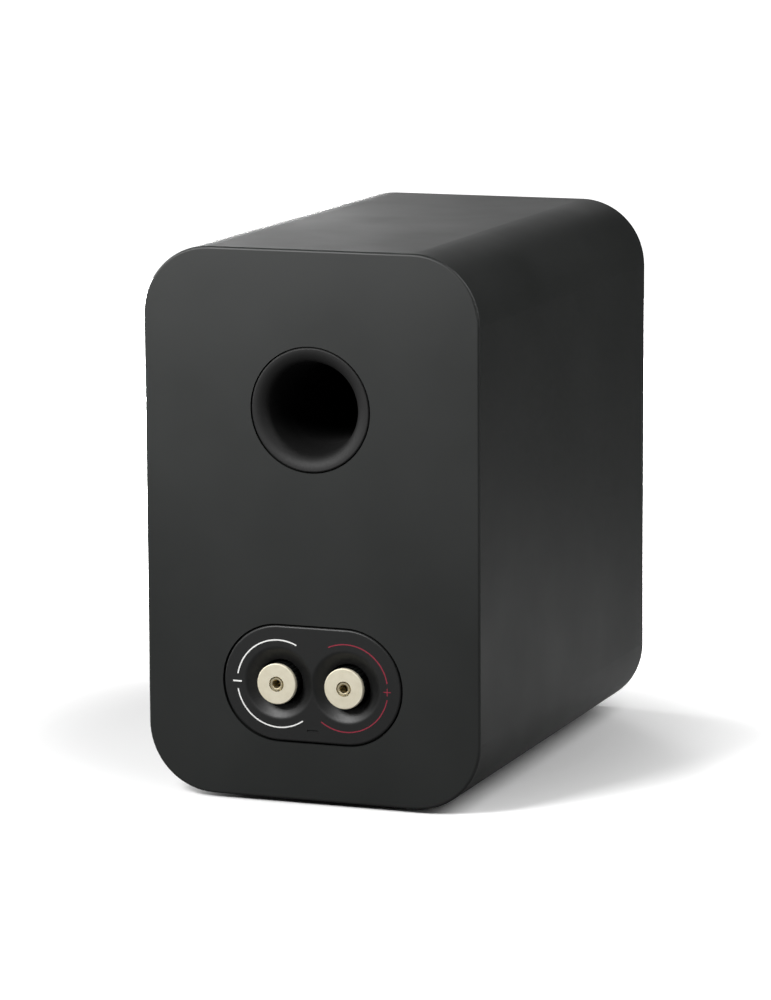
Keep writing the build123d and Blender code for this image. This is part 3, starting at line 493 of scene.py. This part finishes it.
# %% Trim, frame and magnet
def satin_abs():
    """ABS from a blasted mould: smooth to the touch, with an even satin gloss."""
    material, tree, shader, where = start("satin_moulded_abs", "#141415", 0.38, IOR=1.53)
    blast = add(tree, "ShaderNodeTexNoise", {"Scale": grains(0.3), "Detail": 2.0}, {"Vector": where})
    add(tree, "ShaderNodeBump", {"Distance": 0.005 * MM}, {"Height": blast}, feeds=shader["Normal"])
    flow = add(tree, "ShaderNodeTexNoise", {"Scale": grains(25.0), "Detail": 2.0}, {"Vector": where})
    gloss = {"From Min": 0.3, "From Max": 0.7, "To Min": 0.34, "To Max": 0.42}
    add(tree, "ShaderNodeMapRange", gloss, {"Value": flow}, feeds=shader["Roughness"])
    return material


def powder_coat():
    """Black polyester powder coat on cast aluminium: a bumpy, melted skin."""
    material, tree, shader, where = start("black_powder_coat", "#141414", 0.42, IOR=1.5)
    melt = add(tree, "ShaderNodeTexNoise", {"Scale": grains(0.9), "Detail": 2.0}, {"Vector": where})
    add(tree, "ShaderNodeBump", {"Distance": 0.05 * MM}, {"Height": melt}, feeds=shader["Normal"])
    return material


def ground_ferrite():
    """Ground ferrite ceramic: grey-black, with scratches and small chips."""
    material, tree, shader, where = start("ground_ferrite", "#2A2B2D", 0.55)
    chips = add(tree, "ShaderNodeTexNoise", {"Scale": grains(2.2), "Detail": 8.0}, {"Vector": where})
    shades = {"data_type": "RGBA", "A": linear("#202123"), "B": linear("#3A3B3D")}
    add(tree, "ShaderNodeMix", shades, {"Factor": chips}, feeds=shader["Base Color"])
    add(tree, "ShaderNodeBump", {"Distance": 0.08 * MM}, {"Height": chips}, feeds=shader["Normal"])
    return material


# %% [markdown]
# ## Inside the cabinet
#
# These finishes are seen only when the speaker is taken apart: bare fibreboard, the crossover
# board with its solder mask, enamelled copper windings, the capacitors' tinted film, the
# resistors' cast cement, and the leads' soft PVC.


# %% Fibreboard and crossover finishes
def bare_fibreboard():
    """Sawn fibreboard: tan, matt, with short dark fibres."""
    material, tree, shader, where = start("bare_fibreboard", "#A98458", 0.85)
    fibre = {"Scale": grains(1.5), "Detail": 8.0, "Distortion": 1.0}
    chips = add(tree, "ShaderNodeTexNoise", fibre, {"Vector": where})
    shades = {"data_type": "RGBA", "A": linear("#8C6A43"), "B": linear("#C09A6B")}
    add(tree, "ShaderNodeMix", shades, {"Factor": chips}, feeds=shader["Base Color"])
    add(tree, "ShaderNodeBump", {"Distance": 0.1 * MM}, {"Height": chips}, feeds=shader["Normal"])
    return material


def solder_mask():
    """Green solder mask over a glass-fibre board, with the weave just showing."""
    material, tree, shader, where = start("green_solder_mask", "#1F5C3A", 0.3, IOR=1.5)
    weave = {"Scale": grains(0.9), "Randomness": 0.1}
    cloth = add(tree, "ShaderNodeTexVoronoi", weave, {"Vector": where})
    shades = {"data_type": "RGBA", "A": linear("#1A5234"), "B": linear("#246944")}
    add(tree, "ShaderNodeMix", shades, {"Factor": cloth}, feeds=shader["Base Color"])
    return material


def enamelled_copper():
    """Enamelled copper wire, coiled close: orange metal in turns about 0.8 mm apart, painted darker in the
    grooves between turns and lighter on their crests, as painted shade and painted highlight.
    """
    material, tree, shader, where = start("enamelled_copper_wire", "#C4744A", 0.3, Metallic=1.0)
    turns = {"bands_direction": "Y", "Scale": grains(0.8) / 3.2, "Distortion": 0.1}
    ridges_and_painted_shade = add(tree, "ShaderNodeTexWave", turns, {"Vector": where})
    add(tree, "ShaderNodeBump", {"Distance": 0.25 * MM}, {"Height": ridges_and_painted_shade}, feeds=shader["Normal"])
    # painted shade and painted highlight: the colour follows the bump, dark in the grooves between turns and
    # light on their crests
    shades = {"data_type": "RGBA", "A": linear("#8A4526"), "B": linear("#D08257")}
    add(tree, "ShaderNodeMix", shades, {"Factor": ridges_and_painted_shade}, feeds=shader["Base Color"])
    return material


def plain_finish(name, dark, light, grain_mm, depth_mm, roughness, **numbers):
    """A finish with one pattern: it moves between two shades and is embossed by a depth."""
    material, tree, shader, where = start(name, light, roughness, **numbers)
    size = {"Scale": grains(grain_mm), "Detail": 5.0}
    pattern = add(tree, "ShaderNodeTexNoise", size, {"Vector": where})
    shades = {"data_type": "RGBA", "A": linear(dark), "B": linear(light)}
    add(tree, "ShaderNodeMix", shades, {"Factor": pattern}, feeds=shader["Base Color"])
    add(tree, "ShaderNodeBump", {"Distance": depth_mm * MM}, {"Height": pattern}, feeds=shader["Normal"])
    return material


# %% [markdown]
# ## Give each piece its finish
#
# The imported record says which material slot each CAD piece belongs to, so one table from slot
# to finish paints every piece, and none is missed.

# %% Paint the CAD pieces
FINISHES = {
    "cabinet_lacquer": satin_lacquer(),
    "moulded_black": grained_abs(),
    "terminal_nickel": satin_nickel(),
    "post_plating": satin_nickel("bright_nickel_plate", "#DDD0AC", "#F3E8C8", 0.46),
    "grip_black": glass_filled_nylon(),
    "steel_bits": zinc_plated_steel(),
    "black_screws": blackened_steel(),
    "soft_rubber": moulded_rubber(),
    "gasket_foam": closed_cell_foam(),
    "cone_fibre": coated_pulp(),
    "dome_fabric": coated_weave(),
    "spider_cloth": coated_weave("resin_stiffened_cotton", "#B5924F", 0.6, 0.75),
    "trim_satin": satin_abs(),
    "driver_frame": powder_coat(),
    "ferrite": ground_ferrite(),
    "bare_board": bare_fibreboard(),
    "circuit_board": solder_mask(),
    "copper": enamelled_copper(),
    "spacer_nylon": plain_finish("natural_nylon", "#DCD8CC", "#EAE7DD", 1.0, 0.01, 0.45),
    "film_capacitor": plain_finish("wrapped_polyester_film", "#24356E", "#2F4486", 8.0, 0.02, 0.18),
    "cement": plain_finish("cast_cement", "#C9C6BA", "#E3E0D6", 0.5, 0.08, 0.85),
    "lead_jacket": plain_finish("soft_pvc_jacket", "#101010", "#1B1B1B", 3.0, 0.02, 0.45),
    "tag_strip": plain_finish("phenolic_laminate", "#5A3517", "#74491F", 1.0, 0.02, 0.4),
    "coil_former": plain_finish("polyimide_film", "#A86F1C", "#C58A2C", 2.0, 0.005, 0.22),
    "chamber_plastic": plain_finish("moulded_polypropylene", "#161616", "#202020", 0.6, 0.02, 0.5),
    "wadding": plain_finish("polyester_wadding", "#C9C9C5", "#F2F2EE", 1.2, 0.6, 0.95, Sheen_Weight=0.3),
}
FINISHES["motor_steel"] = FINISHES["steel_bits"]  # the motors' plates have the same zinc
# painted shade: the port and its bell get a darker copy of the plate's ABS, so that their inside looks
# darker
PORT_SHADED_FINISH = grained_abs("port_abs_with_painted_shade", "#080808", 0.64, gloss=0.4)
PORT_PIECES = ("reflex_port", "port_inner_bell")

for part in frame["record"]["subparts"]:
    mesh = frame["nodes"][part["node"]].data
    mesh.materials.clear()
    in_port = part["node"] in PORT_PIECES
    # the port pieces take the darker copy, which is painted shade
    mesh.materials.append(PORT_SHADED_FINISH if in_port else FINISHES[part["material_slot"]])

# %% [markdown]
# ## Printing on the terminal plate
#
# Two broken rings are pad printed round the posts, white with a minus for the negative one and
# red with a plus for the positive one. Pad-printed ink stands a few hundredths of a millimetre
# proud. Each line is a thin closed ribbon of mesh with square ends, because a shape in the
# mesh keeps its edge from any distance and in the exported model.


# %% Pad-printing inks
def pad_ink(name, colour):
    """Pad-printing ink: opaque and matt, a touch uneven where the pad lifted."""
    material, tree, shader, where = start(name, colour, 0.6)
    film = add(tree, "ShaderNodeTexNoise", {"Scale": grains(0.8), "Detail": 3.0}, {"Vector": where})
    patchy = {"From Min": 0.3, "From Max": 0.7, "To Min": 0.52, "To Max": 0.68}
    add(tree, "ShaderNodeMapRange", patchy, {"Value": film}, feeds=shader["Roughness"])
    return material


WHITE_INK = pad_ink("white_pad_ink", "#F6F6F4")
RED_INK = pad_ink("red_pad_ink", "#96243A")

# %% Ribbons of ink
INK_PROUD, INK_SUNK = 0.04 * MM, 0.02 * MM
PLATE_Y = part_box("terminal_plate")[1][1]
RING_R = 20.7 * MM


def print_shape(name, outline, ink):
    """A thin closed solid of ink whose outline is given as (x, z) points on the plate. Its points
    and faces are added in a fixed order, so that the mesh is the same each run."""
    form = bmesh.new()
    sunk = [form.verts.new((x, PLATE_Y - INK_SUNK, z)) for x, z in outline]
    proud = [form.verts.new((x, PLATE_Y + INK_PROUD, z)) for x, z in outline]
    form.faces.new(sunk)
    form.faces.new(proud)
    for k in range(len(outline)):
        j = (k + 1) % len(outline)
        form.faces.new((sunk[k], sunk[j], proud[j], proud[k]))
    bmesh.ops.recalc_face_normals(form, faces=form.faces)
    mesh = bpy.data.meshes.new(name)
    form.to_mesh(mesh)
    form.free()
    mesh.materials.append(ink)
    piece = bpy.data.objects.new(name, mesh)
    bpy.context.collection.objects.link(piece)
    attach(piece, "cabinet")


def arc_outline(centre, width_mm, from_deg, to_deg):
    """The outline of a ring's stretch. Angles run from the side away from the other post."""
    outward = 1.0 if centre.x > 0 else -1.0
    steps, half = 64, width_mm * MM / 2
    angles = [math.radians(from_deg + (to_deg - from_deg) * n / steps) for n in range(steps + 1)]
    points = []
    for r, order in ((RING_R + half, angles), (RING_R - half, angles[::-1])):
        points += [(centre.x + outward * r * math.cos(a), centre.z + r * math.sin(a)) for a in order]
    return points


def bar_outline(x, z, wide_mm, high_mm):
    """A small upright rectangle."""
    w, h = wide_mm * MM / 2, high_mm * MM / 2
    return [(x - w, z - h), (x + w, z - h), (x + w, z + h), (x - w, z + h)]


def plus_outline(x, z, wide_mm, high_mm, line_mm):
    """A plus sign as one outline of twelve corners."""
    w, h, t = wide_mm * MM / 2, high_mm * MM / 2, line_mm * MM / 2
    corner = [(w, t), (t, t), (t, h)]
    quarters = corner + [(-a, b) for a, b in corner[::-1]]
    return [(x + a, z + b) for a, b in quarters + [(-a, -b) for a, b in quarters]]


PRINT_DROP = Vector((0.0, 0.0, 0.35)) * MM  # the rings sit a little below the posts' axes
PLUS_STEP = Vector((0.3, 0.0, -0.4)) * MM  # from the red ring to the plus, which breaks it
WHITE_LINE, RED_LINE = 0.65, 0.5  # how wide each ring is printed, in millimetres
NEGATIVE, POSITIVE = middle("negative_post") - PRINT_DROP, middle("positive_post") - PRINT_DROP
plus = POSITIVE + PLUS_STEP
print_shape("white_arc_upper", arc_outline(NEGATIVE, WHITE_LINE, 10.0, 115.5), WHITE_INK)
print_shape("white_arc_lower", arc_outline(NEGATIVE, WHITE_LINE, -10.0, -125.0), WHITE_INK)
print_shape("white_minus", bar_outline(NEGATIVE.x + RING_R, NEGATIVE.z, 4.4, 0.7), WHITE_INK)
print_shape("red_arc_upper", arc_outline(POSITIVE, RED_LINE, 10.0, 114.4), RED_INK)
print_shape("red_arc_lower", arc_outline(POSITIVE, RED_LINE, -11.0, -126.6), RED_INK)
print_shape("red_plus", plus_outline(plus.x - RING_R, plus.z, 3.6, 3.6, 0.4), RED_INK)
print("ink on the plate at y =", round(PLATE_Y, 4))

# %% [markdown]
# ## Parts that bend
#
# The woofer's surround and spider, and the tweeter's little surround, hold the moving parts to
# the frame and bend as they move. Each is a sheet of revolution, so it is made as a lathe
# would: a profile of (radius, depth) points is turned about the driver's axis in fine steps.
# CAD's rigid solids stay for the physics, and these stand for them in the picture.


# %% Lathe and radial blend
def lathe(name, axis, profile, material, segments=160):
    """Turns a closed profile of (radius, y) points about a line along Y."""
    form = bmesh.new()
    rings = []
    for n in range(segments):
        angle = 2 * math.pi * n / segments
        c, s = math.cos(angle), math.sin(angle)
        rings.append([form.verts.new((axis.x + r * c, y, axis.z + r * s)) for r, y in profile])
    for n, ring in enumerate(rings):
        following = rings[(n + 1) % segments]
        for k in range(len(profile)):
            j = (k + 1) % len(profile)
            form.faces.new((ring[k], ring[j], following[j], following[k]))
    bmesh.ops.recalc_face_normals(form, faces=form.faces)
    mesh = bpy.data.meshes.new(name)
    form.to_mesh(mesh)
    form.free()
    mesh.shade_smooth()
    mesh.set_sharp_from_angle(angle=math.radians(40))
    mesh.materials.append(material)
    piece = bpy.data.objects.new(name, mesh)
    bpy.context.collection.objects.link(piece)
    return piece


def bend_between(piece):
    """Bakes the piece's place into its points."""
    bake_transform(piece)


def sheet_profile(line, thickness):
    """A closed profile from a line of (radius, y) points and a thickness, measured along y."""
    return line + [(r, y + thickness) for r, y in line[::-1]]


# %% Woofer surround
def half_roll(inner_land, outer_land, roll_in, roll_out, y, rise, steps=28):
    """A land, a half roll that stands out towards -y, and another land."""
    centre, radius = (roll_in + roll_out) / 2, (roll_out - roll_in) / 2
    line = [(inner_land, y)]
    for n in range(steps + 1):
        angle = math.pi * n / steps
        line.append((centre - radius * math.cos(angle), y - rise * math.sin(angle)))
    return line + [(outer_land, y)]


WOOFER = middle("woofer_surround")
low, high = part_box("woofer_surround")
RUBBER_T = 0.8 * MM
OUTER_LAND, ROLL_WIDTH, INNER_LAND = 4.4 * MM, 7.2 * MM, 2.4 * MM
land_y = high[1] - RUBBER_T
outer_r = high[0]
roll_out = outer_r - OUTER_LAND
roll_in = roll_out - ROLL_WIDTH
line = half_roll(roll_in - INNER_LAND, outer_r, roll_in, roll_out, land_y, land_y - low[1])
surround = lathe(
    "woofer_rubber_surround", WOOFER, sheet_profile(line, RUBBER_T), FINISHES["soft_rubber"]
)
bend_between(surround)
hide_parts("woofer_surround")
print("surround roll", round((roll_out - roll_in) / MM, 1), "mm wide")

# %% Woofer spider
low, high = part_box("woofer_spider")
SPIDER_IN, SPIDER_OUT = 12.95 * MM, high[0]
WAVES_OUT = 38.0 * MM  # the radius where the waves end and the glued rim begins
CLOTH_T = 0.5 * MM
WAVES, FLAT = 5, 3.0 * MM


def corrugations(steps=80):
    """The spider's waves between a flat inner and a flat outer rim."""
    swing = (high[1] - low[1] - CLOTH_T) / 2
    rest = high[1] - CLOTH_T
    first, last = SPIDER_IN + FLAT, WAVES_OUT
    line = [(SPIDER_IN, rest)]
    for n in range(steps + 1):
        share = n / steps
        wave = 1 - math.cos(2 * math.pi * WAVES * share)
        line.append((first + (last - first) * share, rest - swing * wave))
    return line + [(SPIDER_OUT, rest)]


cloth = sheet_profile(corrugations(), CLOTH_T)
spider = lathe("woofer_cloth_spider", WOOFER, cloth, FINISHES["spider_cloth"])
bend_between(spider)
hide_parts("woofer_spider")

# %% Tweeter surround
TWEETER = middle("tweeter_surround")
low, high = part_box("tweeter_surround")
FILM_T = 0.3 * MM
FILM_IN, FILM_ROLL_IN, FILM_ROLL_OUT = 12.4 * MM, 13.2 * MM, 15.8 * MM  # FILM_IN laps under the dome
film_y = high[1] - 0.4 * MM
film = half_roll(FILM_IN, high[0], FILM_ROLL_IN, FILM_ROLL_OUT, film_y, film_y - low[1])
tweeter_roll = lathe(
    "tweeter_cloth_surround", TWEETER, sheet_profile(film, FILM_T), FINISHES["dome_fabric"]
)
bend_between(tweeter_roll)
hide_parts("tweeter_surround")

# %% [markdown]
# ## Wadding
#
# Polyester wadding is glued to the side walls to soak up echoes. It is a soft batt, cut with
# shears, so a pad is thickest in the middle, thin and rounded at its cut edges, and lumpy.
# Each pad is a closed skin over a fine grid. Its back lies flat on the wall, and its face is
# crowned and then pushed in by noise, never out, so that it stays in the room it has.

# %% Crowned, lumpy pads
PAD_SPLIT = (146.0 * MM, 160.0 * MM)  # the bare strip between the upper and lower pads
PAD_DEPTH = 12 * MM
STEPS = 44


def batt_depth(u, v, seed):
    """How thick the batt is, from 0 to 1, at a place across (u) and up (v) the pad."""
    crown = (1 - abs(2 * u - 1) ** 6) * (1 - abs(2 * v - 1) ** 6)
    lumps = noise.fractal(Vector((u * 5, v * 5, seed)), 0.8, 2.1, 4)
    return min(1.0, 0.08 + 0.92 * crown ** 0.6 * (0.86 + 0.14 * lumps))


def grow_pad(form, wall_x, face_x, ys, zs, seed):
    """Adds one closed pad to a mesh, from the wall to its face."""
    face, back = [], []
    for i in range(STEPS + 1):
        for j in range(STEPS + 1):
            u, v = i / STEPS, j / STEPS
            y, z = ys[0] + (ys[1] - ys[0]) * u, zs[0] + (zs[1] - zs[0]) * v
            face.append(form.verts.new((wall_x + (face_x - wall_x) * batt_depth(u, v, seed), y, z)))
            back.append(form.verts.new((wall_x, y, z)))
    side = STEPS + 1
    for i in range(STEPS):
        for j in range(STEPS):
            a, b, c, d = (i * side + j, (i + 1) * side + j, (i + 1) * side + j + 1, i * side + j + 1)
            form.faces.new([face[k] for k in (a, b, c, d)])
            form.faces.new([back[k] for k in (d, c, b, a)])
    rim = [k for k in range(side)] + [i * side + STEPS for i in range(1, side)]
    rim += [STEPS * side + k for k in range(STEPS - 1, -1, -1)] + [i * side for i in range(STEPS - 1, 0, -1)]
    for here, there in zip(rim, rim[1:] + rim[:1]):
        form.faces.new((face[here], face[there], back[there], back[here]))


low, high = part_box("wadding_pads")
form = bmesh.new()
for side in (-1, 1):
    for n, zs in enumerate(((low[2], PAD_SPLIT[0]), (PAD_SPLIT[1], high[2]))):
        wall, face = side * high[0], side * (high[0] - PAD_DEPTH)
        grow_pad(form, wall, face, (low[1], high[1]), zs, seed=side + 4 * n)
bmesh.ops.recalc_face_normals(form, faces=form.faces)
mesh = bpy.data.meshes.new("polyester_batts")
form.to_mesh(mesh)
form.free()
mesh.shade_smooth()
mesh.materials.append(FINISHES["wadding"])
batts = bpy.data.objects.new("polyester_batts", mesh)
bpy.context.collection.objects.link(batts)
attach(batts, "cabinet")
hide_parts("wadding_pads")
print(len(mesh.vertices), "points of wadding")
